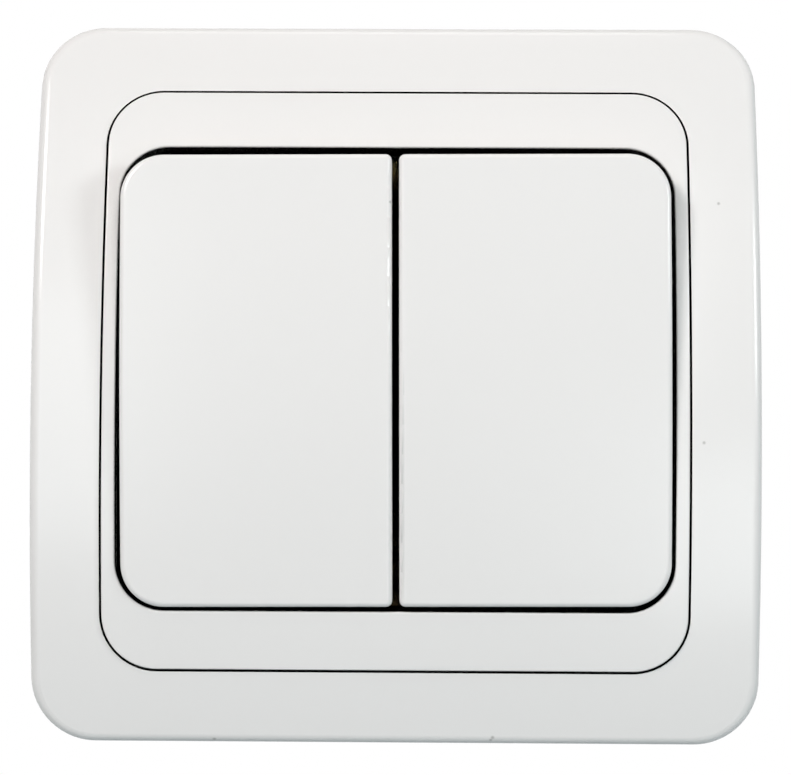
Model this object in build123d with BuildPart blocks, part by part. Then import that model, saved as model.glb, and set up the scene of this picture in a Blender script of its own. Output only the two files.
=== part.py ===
from build123d import *
from math import copysign, cos, radians, sin
import os

os.makedirs("parts", exist_ok=True)

# Two-gang flush rocker switch, in millimetres, +Z up.
# The wall is the plane y = 0 and the room lies towards -Y. A height is measured from the wall into the room,
# so whatever stands in the wall box has a negative height.
room = Plane.XZ
side = Plane(origin=(0, 0, 0), x_dir=(0, -1, 0), z_dir=(-1, 0, 0))

# Cover frame
frame_width = 82.0
frame_height = 82.0
frame_corner = 7.2
frame_crown = 9.5
arch_radius = 150.0
frame_wall = 1.8
frame_edge_round = 1.2
collar_wall = 1.6
collar_lift = 0.3
rib_thickness = 1.2
rib_spacing = 40.0

# Insert
insert_width = 65.6
insert_height = 65.5
insert_corner = 6.1
insert_proud = 0.45
insert_rim = 1.9
insert_edge_round = 0.2
joint_gap = 0.3
seat_gap = 0.05
rim_overlap = 0.8
skirt_wall = 0.8
skirt_back = 3.2
skirt_gap = 0.2
opening_width = 62.5
opening_height = 52.3
opening_corner = 5.4
opening_edge_round = 0.25
insert_wall = 1.2
floor_front = 3.0
floor_thickness = 1.2
floor_screw_gap = 0.4
box_screw_room = 10.0
box_screw_headroom = 4.6

# Rocker keys
rocker_pair_width = 61.4
rocker_height = 50.5
rocker_gap = 0.8
rocker_corner = 4.8
rocker_inner_corner = 0.7
rocker_edge_round = 0.6
rocker_crown = 8.1
rocker_crown_radius = 240.0
rocker_skin = 1.8
rocker_wall = 1.4
rocker_skirt = 6.5
rocker_relief = 1.5
rocker_relief_length = 30.0
rocker_tilt = 4.0
rocker_askew = 0.35
rocker_rib = 1.2
rocker_rib_spacing = 32.0
rocker_rib_depth = 1.6
clip_width = 8.0
clip_thickness = 1.2
clip_gap = 0.05
barb_height = 0.85
barb_reach = 0.95

# Axle and tumblers
axle_height = 3.6
axle_radius = 1.25
axle_push_gap = 0.02
axle_run_gap = 0.05
tumbler_inset = 9.8
tumbler_width = 12.0
tumbler_length = 15.0
tumbler_front = 3.5
tumbler_lip = 2.3
tumbler_lip_reach = 1.3
tumbler_neck_length = 7.0
tumbler_neck_back = 3.5
stem_radius = 3.5
stem_back = 10.0
bore_radius = 2.1
bore_end = 2.0

# Springs and plungers
plunger_radius = 1.95
plunger_back = 14.2
plunger_tip_radius = 1.2
plunger_cone = 0.9
plunger_shoulder = 7.5
plunger_spigot_radius = 1.1
plunger_spigot = 1.5
spring_radius = 1.55
spring_wire = 0.2
spring_turns = 5
spring_gap = 0.05

# See-saw contacts
fulcrum_height = -11.5
arm_tilt = 8.0
arm_width = 5.2
arm_length = 20.0
arm_thickness = 0.8
arm_seat_gap = 0.05
arm_groove_gap = 0.05
arm_neck_width = 3.4
arm_neck_length = 1.6
contact_reach = 8.5
tip_radius = 1.5
tip_thickness = 0.8
tip_shank_radius = 0.8
contact_gap = 0.08
rivet_radius = 1.7
rivet_shank_radius = 0.9
rivet_gap = 0.03

# Base
base_width = 41.6
base_height = 42.0
base_corner = 4.0
base_back = -18.6
base_back_round = 1.0
block_height = 24.8
block_front = 5.0
block_corner = 1.0
ear_radius = 3.1
chamber_width = 15.6
chamber_height = 22.2
chamber_floor = -14.4
chamber_floor_thickness = 1.6
stop_width = 4.0
stop_length = 1.6
stop_gap = 0.1

# Terminals
strip_thickness = 0.8
strip_width = 5.0
strip_gap = 0.3
upright_width = 6.4
upright_thickness = 0.8
horn_height = 1.0
horn_gap = 0.15
terminal_z = 15.6
terminal_size = 6.2
terminal_front = -9.4
terminal_back = -18.0
terminal_gap = 0.15
wire_radius = 1.6
wire_depth = 7.0
terminal_screw_height = -13.6
terminal_screw_radius = 1.25
terminal_screw_head_radius = 2.3
terminal_screw_head = 1.5
terminal_screw_access = 0.3

# Mounting plate
plate_width = 71.0
plate_height = 71.0
plate_thickness = 1.2
plate_corner_cut = 9.0
plate_corner_round = 2.5
plate_window_gap = 0.3
box_screw_pitch = 60.0
box_slot_length = 7.0
box_slot_radius = 2.25
bead_length = 34.0
bead_width = 3.2
bead_lift = 0.6
bead_slope = 0.5
bead_inset = 6.0

# Claws
claw_set = 2.2
claw_rise = 12.0
claw_height = -1.6
claw_width = 8.0
claw_thickness = 1.4
claw_trunnion_radius = 1.0
claw_trunnion_gap = 0.1
claw_arm_length = 14.5
claw_tip_length = 4.2
claw_tip_angle = 60.0
claw_tooth = 1.1
claw_teeth = 4
claw_fork_width = 3.8
claw_fork_start = 2.2
claw_fork_length = 10.0
claw_foot_length = 8.6
claw_foot_angle = 28.0
claw_slot_length = 5.8
claw_slot_width = 3.6
lug_thickness = 2.0
lug_reach = 4.2
lug_depth = 4.4
lug_gap = 0.2

# Screws
screw_radius = 1.5
screw_gap = 0.05
screw_slot_width = 0.8
screw_slot_depth = 0.9
insert_screw_set = 2.1
insert_screw_length = 6.5
insert_screw_head_radius = 2.6
insert_screw_angle = 90.0
insert_boss_radius = 3.1
insert_hole_gap = 0.2
base_screw_x = 14.0
base_screw_inset = 3.8
base_screw_radius = 1.3
base_screw_length = 8.0
base_screw_head_radius = 2.4
base_screw_head = 1.2
claw_screw_set = 4.0
claw_screw_length = 11.0
claw_screw_head_radius = 2.7
claw_screw_head = 1.2
claw_hole_gap = 0.25

# Places that follow from the sizes above
tumbler_x = base_width / 2 - tumbler_inset
claw_x = base_width / 2 + claw_set
claw_z = claw_rise - base_height / 2
claw_screw_x = claw_x + claw_screw_set
base_screw_z = base_height / 2 - base_screw_inset
insert_screw_z = base_height / 2 + insert_screw_set
floor_edge = base_screw_z + base_screw_head_radius + floor_screw_gap
bead_z = plate_height / 2 - bead_inset
rocker_width = (rocker_pair_width - rocker_gap) / 2
rocker_x = (rocker_width + rocker_gap) / 2
insert_crown = frame_crown + insert_proud
rim_back = insert_proud - insert_rim
skirt_width = insert_width - 2 * rim_overlap
skirt_height = insert_height - 2 * rim_overlap
skirt_corner = insert_corner - rim_overlap
collar_grow = joint_gap + collar_wall
collar_back = plate_thickness + collar_lift
tumbler_lip_back = tumbler_front - tumbler_lip
floor_back = chamber_floor - chamber_floor_thickness
strip_back = floor_back - strip_thickness
rest_sink = (contact_reach + stop_length / 2) * sin(radians(arm_tilt)) + stop_gap
stop_front = fulcrum_height + arm_seat_gap - rest_sink
closed_sink = (contact_reach + tip_radius) * sin(radians(arm_tilt)) + contact_gap
fixed_front = fulcrum_height - (tip_thickness - arm_seat_gap) * cos(radians(arm_tilt)) - closed_sink
fixed_places = [(-tumbler_x, -contact_reach), (tumbler_x, -contact_reach)]
works_places = [(-tumbler_x, 0), (tumbler_x, 0)]
terminal_places = [(0, terminal_z), (-tumbler_x, -terminal_z), (tumbler_x, -terminal_z)]
base_screw_places = [(-base_screw_x, base_screw_z), (base_screw_x, base_screw_z), (0, -base_screw_z)]
insert_screw_places = [(0, -insert_screw_z), (0, insert_screw_z)]
claw_screw_places = [(-claw_screw_x, claw_z), (claw_screw_x, claw_z)]
hands = [(-1, "left"), (1, "right")]

# A key and its tumbler are drawn in the key's own tilted planes, a see-saw contact in its own
key_face = room.offset(axle_height).rotated((rocker_tilt, 0, 0))
key_side = Plane(origin=key_face.origin, x_dir=key_face.z_dir, z_dir=side.z_dir)
key_turn = key_face.location * Rot(0, 0, rocker_askew) * key_face.location.inverse()
arm_face = room.offset(fulcrum_height).rotated((-arm_tilt, 0, 0))


def slab(plane, width, height, corner, amount, mode=Mode.ADD):
    """A plate with rounded corners, drawn on a plane and raised from it."""
    with BuildSketch(plane) as outline:
        RectangleRounded(width, height, corner)
    extrude(outline.sketch, amount=amount, mode=mode)


def arch(plane, crown, radius, mode=Mode.INTERSECT):
    """Everything under an arch about a level axis, kept or taken away."""
    with BuildSketch(plane) as circle:
        with Locations((crown - radius, 0)):
            Circle(radius)
    extrude(circle.sketch, amount=frame_width, both=True, mode=mode)


def face_arch(rise, mode=Mode.INTERSECT):
    """The arch of the cover's face, moved out of the wall by a rise."""
    arch(side, frame_crown + rise, arch_radius + rise, mode)


def rocker_outline(sketch, inset=0.0):
    """The outline of the key on the +X hand, with two round outer corners and two tight inner ones."""
    with Locations((rocker_x, 0)):
        Rectangle(rocker_width - 2 * inset, rocker_height - 2 * inset)
    fillet(sketch.vertices().group_by(Axis.X)[-1], rocker_corner - inset)
    if rocker_inner_corner > inset:
        fillet(sketch.vertices().group_by(Axis.X)[0], rocker_inner_corner - inset)


def slotted_screw(head_radius, head, radius, length):
    """A pan-head screw along +Z, head up, its seat at z = 0."""
    with BuildPart() as screw:
        with BuildSketch():
            Circle(head_radius)
        extrude(amount=head)
        fillet(screw.edges().group_by(Axis.Z)[-1], head / 3)
        with BuildSketch():
            Circle(radius)
        extrude(amount=-length)
        chamfer(screw.edges().group_by(Axis.Z)[0], radius / 4)
        with BuildSketch(Plane.XY.offset(head)):
            Rectangle(2 * head_radius, screw_slot_width)
        extrude(amount=-min(screw_slot_depth, head / 2), mode=Mode.SUBTRACT)
    return screw.part


# Cover frame: an arched, hollow moulding with a ledge for the insert
with BuildPart() as frame_hollow:
    slab(room, frame_width - 2 * frame_wall, frame_height - 2 * frame_wall, frame_corner - frame_wall, frame_crown)
    face_arch(-frame_wall)

with BuildPart() as frame_web:
    with BuildSketch(room.offset(collar_back)):
        RectangleRounded(insert_width + 2 * collar_grow, insert_height + 2 * collar_grow, insert_corner + collar_grow)
        with GridLocations(rib_spacing, 0, 2, 1):
            Rectangle(rib_thickness, frame_height - frame_wall)
        with GridLocations(0, rib_spacing, 1, 2):
            Rectangle(frame_width - frame_wall, rib_thickness)
    extrude(amount=frame_crown - collar_back)
    face_arch(-frame_wall / 2)

with BuildPart() as insert_seat:
    slab(room, insert_width + 2 * joint_gap, insert_height + 2 * joint_gap, insert_corner + joint_gap, insert_crown)
    face_arch(rim_back - seat_gap, Mode.SUBTRACT)

with BuildPart() as cover_frame:
    slab(room, frame_width, frame_height, frame_corner, frame_crown)
    face_arch(0)
    fillet(cover_frame.faces().sort_by(Axis.Y)[0].edges(), frame_edge_round)
    add(frame_hollow.part, mode=Mode.SUBTRACT)
    add(frame_web.part)
    add(insert_seat.part, mode=Mode.SUBTRACT)
    slab(room, skirt_width + 2 * skirt_gap, skirt_height + 2 * skirt_gap, skirt_corner + skirt_gap, frame_crown,
         Mode.SUBTRACT)
cover_frame.part.label = "cover_frame"
export_step(cover_frame.part, "parts/cover_frame.step")

# Insert: the visible rim, with a wall around the keys and a floor bar for each screw behind it
with BuildPart() as insert_rear:
    slab(room.offset(floor_front - floor_thickness), skirt_width, opening_height + 2 * insert_wall,
         opening_corner + insert_wall, insert_crown)
    slab(room.offset(floor_front), opening_width, opening_height, opening_corner, insert_crown, Mode.SUBTRACT)
    with BuildSketch(room):
        Rectangle(opening_width, 2 * floor_edge)
    extrude(amount=floor_front, mode=Mode.SUBTRACT)
    with BuildSketch(room.offset(skirt_back)):
        RectangleRounded(skirt_width, skirt_height, skirt_corner)
        RectangleRounded(skirt_width - 2 * skirt_wall, skirt_height - 2 * skirt_wall, skirt_corner - skirt_wall,
                         mode=Mode.SUBTRACT)
    extrude(amount=insert_crown)
    face_arch(rim_back + insert_rim / 3)
    with BuildSketch(room):
        Rectangle(insert_width, box_screw_room)
    extrude(amount=box_screw_headroom, mode=Mode.SUBTRACT)
    with BuildSketch(room.offset(plate_thickness)):
        with Locations(*insert_screw_places):
            Circle(insert_boss_radius)
    extrude(amount=floor_front - plate_thickness)

with BuildPart() as insert:
    slab(room, insert_width, insert_height, insert_corner, insert_crown)
    face_arch(insert_proud)
    fillet(insert.faces().sort_by(Axis.Y)[0].edges(), insert_edge_round)
    face_arch(rim_back, Mode.SUBTRACT)
    slab(room, opening_width, opening_height, opening_corner, insert_crown, Mode.SUBTRACT)
    fillet(insert.faces().sort_by(Axis.Y)[0].inner_wires()[0].edges(), opening_edge_round)
    add(insert_rear.part)
    with Locations(room.offset(floor_front)):
        with Locations(*insert_screw_places):
            CounterSinkHole(screw_radius + insert_hole_gap, insert_screw_head_radius + insert_hole_gap,
                            counter_sink_angle=insert_screw_angle)
insert.part.label = "insert"
export_step(insert.part, "parts/insert.step")

# Rocker keys: crowned caps, a little askew in their opening, with clip legs that snap over the tumbler's lips
with BuildPart() as rocker_hollow:
    with BuildSketch(key_face.offset(rocker_crown - rocker_skirt)) as outline:
        rocker_outline(outline, rocker_wall)
    extrude(amount=rocker_skirt)
    arch(key_side, rocker_crown - rocker_skin, rocker_crown_radius - rocker_skin)

with BuildPart() as rocker_legs:
    with BuildSketch(key_face.offset(tumbler_lip_back - clip_gap - barb_height)):
        with Locations((tumbler_x, 0)):
            with GridLocations(0, tumbler_length + 2 * clip_gap + clip_thickness, 1, 2):
                Rectangle(clip_width, clip_thickness)
    extrude(amount=rocker_crown)
    with BuildSketch(key_face.offset(tumbler_lip_back - clip_gap - barb_height)):
        with Locations((tumbler_x, 0)):
            with GridLocations(0, tumbler_length + 2 * clip_gap - barb_reach, 1, 2):
                Rectangle(clip_width, barb_reach)
    extrude(amount=barb_height)
    with BuildSketch(key_face.offset(tumbler_front + clip_gap)):
        with Locations((tumbler_x, 0)):
            with GridLocations(tumbler_width - rocker_rib, 0, 2, 1):
                Rectangle(rocker_rib, tumbler_length)
    extrude(amount=rocker_crown)
    with BuildSketch(key_face.offset(rocker_crown - rocker_skin - rocker_rib_depth)):
        with Locations((rocker_x, 0)):
            with GridLocations(0, rocker_rib_spacing, 1, 2):
                Rectangle(rocker_width - rocker_wall, rocker_rib)
    extrude(amount=rocker_crown)
    arch(key_side, rocker_crown - rocker_skin / 2, rocker_crown_radius - rocker_skin / 2)

with BuildPart() as rocker_cap:
    with BuildSketch(key_face.offset(rocker_crown - rocker_skirt)) as outline:
        rocker_outline(outline)
    extrude(amount=rocker_skirt)
    arch(key_side, rocker_crown, rocker_crown_radius)
    with BuildSketch(key_side):
        with Locations((rocker_crown - rocker_skirt, 0)):
            Rectangle(rocker_relief, rocker_relief_length, align=(Align.MIN, Align.CENTER))
    extrude(amount=rocker_pair_width, both=True, mode=Mode.SUBTRACT)
    fillet(rocker_cap.faces().sort_by(Axis(key_face.origin, key_face.z_dir))[-1].edges(), rocker_edge_round)
    add(rocker_hollow.part, mode=Mode.SUBTRACT)

with BuildPart() as rocker_right:
    add(rocker_cap.part.moved(key_turn))
    add(rocker_legs.part)
rocker_right.part.label = "rocker_right"
export_step(rocker_right.part, "parts/rocker_right.step")

with BuildPart() as rocker_left:
    add(mirror(rocker_cap.part, about=Plane.YZ, mode=Mode.PRIVATE).moved(key_turn))
    mirror(rocker_legs.part, about=Plane.YZ)
rocker_left.part.label = "rocker_left"
export_step(rocker_left.part, "parts/rocker_left.step")

# Axle through the base and both tumblers
with BuildPart() as axle:
    with BuildSketch(side):
        with Locations((axle_height, 0)):
            Circle(axle_radius)
    extrude(amount=base_width / 2, both=True)
axle.part.label = "axle"
export_step(axle.part, "parts/axle.step")

# Works of each gang
for hand, name in hands:
    x = hand * tumbler_x
    with BuildPart() as tumbler:
        with BuildSketch(key_side.offset(-x)):
            with BuildLine():
                Polyline(
                    (tumbler_front, -tumbler_length / 2),
                    (tumbler_front, tumbler_length / 2),
                    (tumbler_lip_back, tumbler_length / 2),
                    (tumbler_lip_back, tumbler_length / 2 - tumbler_lip_reach),
                    (-tumbler_neck_back, tumbler_neck_length / 2),
                    (-tumbler_neck_back, -tumbler_neck_length / 2),
                    (tumbler_lip_back, tumbler_lip_reach - tumbler_length / 2),
                    (tumbler_lip_back, -tumbler_length / 2),
                    close=True,
                )
            make_face()
        extrude(amount=tumbler_width / 2, both=True)
        with BuildSketch(key_face):
            with Locations((x, 0)):
                Circle(stem_radius)
        extrude(amount=-stem_back)
        with BuildSketch(key_face.offset(-bore_end)):
            with Locations((x, 0)):
                Circle(bore_radius)
        extrude(amount=-stem_back, mode=Mode.SUBTRACT)
        with BuildSketch(key_side):
            Circle(axle_radius + axle_run_gap)
        extrude(amount=base_width, both=True, mode=Mode.SUBTRACT)
    tumbler.part.label = f"tumbler_{name}"
    export_step(tumbler.part, f"parts/tumbler_{name}.step")

    with BuildPart() as plunger:
        with BuildSketch(key_side.offset(-x)):
            with BuildLine():
                tip = -plunger_back + plunger_tip_radius
                cone_end = tip + plunger_cone
                RadiusArc((-plunger_back, 0), (tip, plunger_tip_radius), plunger_tip_radius)
                Polyline(
                    (tip, plunger_tip_radius),
                    (cone_end, plunger_radius),
                    (-plunger_shoulder, plunger_radius),
                    (-plunger_shoulder, plunger_spigot_radius),
                    (plunger_spigot - plunger_shoulder, plunger_spigot_radius),
                    (plunger_spigot - plunger_shoulder, 0),
                    (-plunger_back, 0),
                )
            make_face()
        revolve(axis=Axis(key_side.offset(-x).origin, key_face.z_dir))
    plunger.part.label = f"plunger_{name}"
    export_step(plunger.part, f"parts/plunger_{name}.step")

    coil_length = plunger_shoulder - bore_end - 2 * (spring_wire + spring_gap)
    with BuildPart() as spring:
        with BuildLine() as coil:
            Helix(
                coil_length / spring_turns,
                coil_length,
                spring_radius,
                center=key_face.from_local_coords((x, 0, -plunger_shoulder + spring_wire + spring_gap)),
                direction=key_face.z_dir,
            )
        with BuildSketch(Plane(coil.line @ 0, z_dir=coil.line % 0)):
            Circle(spring_wire)
        sweep(is_frenet=True)
    spring.part.label = f"spring_{name}"
    export_step(spring.part, f"parts/spring_{name}.step")

    with BuildPart() as contact_arm:
        with BuildSketch(arm_face.offset(arm_seat_gap)):
            with Locations((x, 0)):
                Rectangle(arm_width, arm_length)
                with GridLocations(arm_width, 0, 2, 1):
                    Rectangle(arm_width - arm_neck_width, arm_neck_length, mode=Mode.SUBTRACT)
            with Locations((x, -contact_reach)):
                Circle(tip_shank_radius, mode=Mode.SUBTRACT)
        extrude(amount=arm_thickness)
        with BuildSketch(side.offset(-x)):
            with Locations((fulcrum_height, 0)):
                Circle(upright_thickness / 2 + arm_groove_gap)
        extrude(amount=arm_width, both=True, mode=Mode.SUBTRACT)
    contact_arm.part.label = f"contact_arm_{name}"
    export_step(contact_arm.part, f"parts/contact_arm_{name}.step")

    with BuildPart() as moving_tip:
        with BuildSketch(arm_face.offset(arm_seat_gap)):
            with Locations((x, -contact_reach)):
                Circle(tip_radius)
        extrude(amount=-tip_thickness)
        fillet(moving_tip.edges().sort_by(Axis.Y)[-1], tip_thickness / 3)
        with BuildSketch(arm_face.offset(arm_seat_gap)):
            with Locations((x, -contact_reach)):
                Circle(tip_shank_radius - rivet_gap)
        extrude(amount=arm_thickness)
    moving_tip.part.label = f"moving_tip_{name}"
    export_step(moving_tip.part, f"parts/moving_tip_{name}.step")

# Fixed contacts: silver rivets through the chamber floor into the outgoing terminals
with BuildPart() as fixed_tips:
    with BuildSketch(room.offset(chamber_floor)):
        with Locations(*fixed_places):
            Circle(rivet_radius)
    extrude(amount=fixed_front - chamber_floor)
    with BuildSketch(room.offset(chamber_floor)):
        with Locations(*fixed_places):
            Circle(rivet_shank_radius)
    extrude(amount=strip_back - chamber_floor)
fixed_tips.part.label = "fixed_tips"
export_step(fixed_tips.part, "parts/fixed_tips.step")


def strip(width, length, centre):
    """A flat run of a terminal, against the back of the chamber floor."""
    with BuildSketch(room.offset(strip_back)) as run:
        with Locations(centre):
            Rectangle(width, length)
    extrude(run.sketch, amount=strip_thickness)


def terminal_block(place):
    """The end of a terminal that takes a wire from behind and a clamping screw from its free side."""
    with BuildSketch(room.offset(terminal_back)) as block:
        with Locations(place):
            Rectangle(terminal_size, terminal_size)
    extrude(block.sketch, amount=terminal_front - terminal_back)
    with BuildSketch(room.offset(terminal_back)) as bore:
        with Locations(place):
            Circle(wire_radius)
    extrude(bore.sketch, amount=wire_depth, mode=Mode.SUBTRACT)
    with BuildSketch(Plane.XY.offset(place[1])) as thread:
        with Locations((place[0], -terminal_screw_height)):
            Circle(terminal_screw_radius + screw_gap)
    extrude(thread.sketch, amount=copysign(terminal_size, place[1]), mode=Mode.SUBTRACT)


# Common terminal: feeds both see-saw contacts through the round-edged uprights they rock on
with BuildPart() as common_terminal:
    strip(2 * tumbler_x + upright_width, strip_width, (0, 0))
    strip(strip_width, terminal_z, (0, terminal_z / 2))
    for x, z in works_places:
        with BuildSketch(side.offset(-x)):
            with Locations((strip_back, 0)):
                Rectangle(fulcrum_height - strip_back, upright_thickness, align=(Align.MIN, Align.CENTER))
            with Locations((fulcrum_height, 0)):
                Circle(upright_thickness / 2)
        extrude(amount=upright_width / 2, both=True)
        horn_inner = arm_neck_width / 2 + horn_gap
        horn_width = upright_width / 2 - horn_inner
        with BuildSketch(room.offset(strip_back)):
            with Locations((x, 0)):
                with GridLocations(2 * horn_inner + horn_width, 0, 2, 1):
                    Rectangle(horn_width, upright_thickness)
        extrude(amount=fulcrum_height + horn_height - strip_back)
    terminal_block(terminal_places[0])
common_terminal.part.label = "common_terminal"
export_step(common_terminal.part, "parts/common_terminal.step")

# Outgoing terminals: each joins a fixed contact to a wire
for (hand, name), place in zip(hands, terminal_places[1:]):
    reach = terminal_z - contact_reach + strip_width / 2
    with BuildPart() as terminal:
        strip(strip_width, reach, (hand * tumbler_x, reach / 2 - terminal_z))
        with BuildSketch(room.offset(strip_back)):
            with Locations((hand * tumbler_x, -contact_reach)):
                Circle(rivet_shank_radius + rivet_gap)
        extrude(amount=strip_thickness, mode=Mode.SUBTRACT)
        terminal_block(place)
    terminal.part.label = f"terminal_{name}"
    export_step(terminal.part, f"parts/terminal_{name}.step")

# Switch base: the moulded body behind and through the mounting plate
with BuildPart() as switch_base:
    slab(room.offset(base_back), base_width, base_height, base_corner, -base_back)
    fillet(switch_base.faces().sort_by(Axis.Y)[-1].edges(), base_back_round)
    slab(room, base_width, block_height, block_corner, block_front)
    with BuildSketch(side):
        with Locations((axle_height, 0)):
            Circle(ear_radius)
    extrude(amount=base_width / 2, both=True)
    with BuildSketch(room.offset(chamber_floor)):
        with Locations(*works_places):
            Rectangle(chamber_width, chamber_height)
    extrude(amount=axle_height + ear_radius - chamber_floor, mode=Mode.SUBTRACT)
    with BuildSketch(room.offset(chamber_floor)):
        with Locations((-tumbler_x, contact_reach), (tumbler_x, contact_reach)):
            Rectangle(stop_width, stop_length)
    extrude(amount=stop_front - chamber_floor)
    with BuildSketch(side):
        with Locations((axle_height, 0)):
            Circle(axle_radius + axle_push_gap)
    extrude(amount=base_width, both=True, mode=Mode.SUBTRACT)
    # Channels for the strips, pockets for the wire blocks and passages through the chamber floor
    channel = strip_width + 2 * strip_gap
    outgoing = terminal_z - contact_reach + strip_width / 2 + strip_gap
    with BuildSketch(room.offset(base_back)):
        Rectangle(2 * tumbler_x + upright_width + 2 * strip_gap, channel)
        with Locations((0, terminal_z / 2)):
            Rectangle(channel, terminal_z)
        with Locations((-tumbler_x, outgoing / 2 - terminal_z), (tumbler_x, outgoing / 2 - terminal_z)):
            Rectangle(channel, outgoing)
    extrude(amount=floor_back - base_back, mode=Mode.SUBTRACT)
    with BuildSketch(room.offset(base_back)):
        with Locations(*terminal_places):
            Rectangle(terminal_size + 2 * terminal_gap, terminal_size + 2 * terminal_gap)
    extrude(amount=terminal_front + terminal_gap - base_back, mode=Mode.SUBTRACT)
    with BuildSketch(room.offset(base_back)):
        with Locations(*works_places):
            Rectangle(upright_width + 2 * strip_gap, upright_thickness + 2 * strip_gap)
        with Locations(*fixed_places):
            Circle(rivet_shank_radius + rivet_gap)
    extrude(amount=chamber_floor - base_back, mode=Mode.SUBTRACT)
    for x, z in terminal_places:
        with BuildSketch(Plane.XY.offset(z)):
            with Locations((x, -terminal_screw_height)):
                Circle(terminal_screw_head_radius + terminal_screw_access)
        extrude(amount=copysign(base_height, z), mode=Mode.SUBTRACT)
    with BuildSketch(room):
        with Locations(*base_screw_places):
            Circle(base_screw_radius + screw_gap)
    extrude(amount=-base_screw_length, mode=Mode.SUBTRACT)
    # Bearing lugs for the claws, open towards the mounting plate
    with BuildSketch(room.offset(-lug_depth)):
        with Locations((0, claw_z)):
            with GridLocations(base_width + lug_reach, claw_width + 2 * lug_gap + lug_thickness, 2, 2):
                Rectangle(lug_reach, lug_thickness)
    extrude(amount=lug_depth)
    groove_radius = claw_trunnion_radius + claw_trunnion_gap
    with BuildSketch(Plane.XY.offset(claw_z)):
        with Locations((-claw_x, -claw_height), (claw_x, -claw_height)):
            Circle(groove_radius)
        with Locations((-claw_x, -claw_height / 2), (claw_x, -claw_height / 2)):
            Rectangle(2 * groove_radius, -claw_height)
    extrude(amount=claw_width, both=True, mode=Mode.SUBTRACT)
switch_base.part.label = "switch_base"
export_step(switch_base.part, "parts/switch_base.step")

# Mounting plate: stamped steel, with the slots for the wall box's screws
with BuildPart() as mounting_plate:
    with BuildSketch(room) as blank:
        Rectangle(plate_width, plate_height)
        chamfer(blank.vertices(), plate_corner_cut)
        fillet(blank.vertices(), plate_corner_round)
        Rectangle(base_width + 2 * plate_window_gap, block_height + 2 * plate_window_gap, mode=Mode.SUBTRACT)
        with GridLocations(box_screw_pitch, 0, 2, 1):
            SlotOverall(box_slot_length, 2 * box_slot_radius, mode=Mode.SUBTRACT)
        with Locations(*insert_screw_places):
            Circle(screw_radius + screw_gap, mode=Mode.SUBTRACT)
        with Locations(*base_screw_places):
            Circle(base_screw_radius + screw_gap, mode=Mode.SUBTRACT)
        with Locations(*claw_screw_places):
            Circle(screw_radius + claw_hole_gap, mode=Mode.SUBTRACT)
    extrude(amount=plate_thickness)
    # Pressed beads stiffen the plate: raised towards the room, sunken behind
    with BuildSketch(room.offset(plate_thickness)):
        with GridLocations(0, 2 * bead_z, 1, 2):
            SlotOverall(bead_length, bead_width)
    extrude(amount=bead_lift, taper=45)
    with BuildSketch(room):
        with GridLocations(0, 2 * bead_z, 1, 2):
            SlotOverall(bead_length - 2 * bead_slope, bead_width - 2 * bead_slope)
    extrude(amount=bead_lift, taper=45, mode=Mode.SUBTRACT)
mounting_plate.part.label = "mounting_plate"
export_step(mounting_plate.part, "parts/mounting_plate.step")

# Box claws: bell cranks of bent steel, swung outwards by the screw through their foot
claw_y = -claw_height
claw_pivot = Pos(claw_x, claw_y)
claw_bend = claw_pivot * Pos(0, claw_arm_length)
claw_end = claw_bend * Rot(0, 0, -claw_tip_angle) * Pos(0, claw_tip_length)
with BuildPart() as claw_right:
    with BuildSketch(Plane.XY.offset(claw_z - claw_width / 2)):
        with Locations(claw_pivot):
            Rectangle(claw_thickness, claw_arm_length, align=(Align.CENTER, Align.MIN))
            Circle(claw_trunnion_radius)
        with Locations(claw_bend):
            Circle(claw_thickness / 2)
        with Locations(claw_bend * Rot(0, 0, -claw_tip_angle)):
            Rectangle(claw_thickness, claw_tip_length, align=(Align.CENTER, Align.MIN))
        with Locations(claw_pivot * Rot(0, 0, claw_foot_angle)):
            Rectangle(claw_foot_length, claw_thickness, align=(Align.MIN, Align.CENTER))
    extrude(amount=claw_width)
    trunnion_length = claw_width + 2 * (lug_gap + lug_thickness)
    with BuildSketch(Plane.XY.offset(claw_z - trunnion_length / 2)):
        with Locations(claw_pivot):
            Circle(claw_trunnion_radius)
    extrude(amount=trunnion_length)
    with BuildSketch(Plane.YZ.offset(claw_x)):
        with Locations((claw_y + claw_fork_start + claw_fork_length / 2, claw_z)):
            SlotOverall(claw_fork_length, claw_fork_width)
    extrude(amount=claw_thickness, both=True, mode=Mode.SUBTRACT)
    with BuildSketch(room):
        with Locations((claw_screw_x, claw_z)):
            SlotOverall(claw_slot_length, claw_slot_width)
    extrude(amount=-claw_foot_length, mode=Mode.SUBTRACT)
    tip_edge = Plane(Pos(0, 0, claw_z) * claw_end).rotated((0, 90, 0))
    with BuildSketch(tip_edge):
        with GridLocations(claw_width / claw_teeth, 0, claw_teeth + 1, 1):
            Rectangle(claw_tooth, claw_tooth, rotation=45)
    extrude(amount=claw_thickness, both=True, mode=Mode.SUBTRACT)
claw_right.part.label = "claw_right"
export_step(claw_right.part, "parts/claw_right.step")

with BuildPart() as claw_left:
    mirror(claw_right.part, about=Plane.YZ)
claw_left.part.label = "claw_left"
export_step(claw_left.part, "parts/claw_left.step")

# Screws
claw_screw = slotted_screw(claw_screw_head_radius, claw_screw_head, screw_radius, claw_screw_length)
with BuildPart() as claw_screws:
    with Locations(room.offset(plate_thickness)):
        with Locations(*claw_screw_places):
            add(claw_screw)
claw_screws.part.label = "claw_screws"
export_step(claw_screws.part, "parts/claw_screws.step")

base_screw = slotted_screw(base_screw_head_radius, base_screw_head, base_screw_radius, base_screw_length)
with BuildPart() as base_screws:
    with Locations(room.offset(plate_thickness)):
        with Locations(*base_screw_places):
            add(base_screw)
base_screws.part.label = "base_screws"
export_step(base_screws.part, "parts/base_screws.step")

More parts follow.
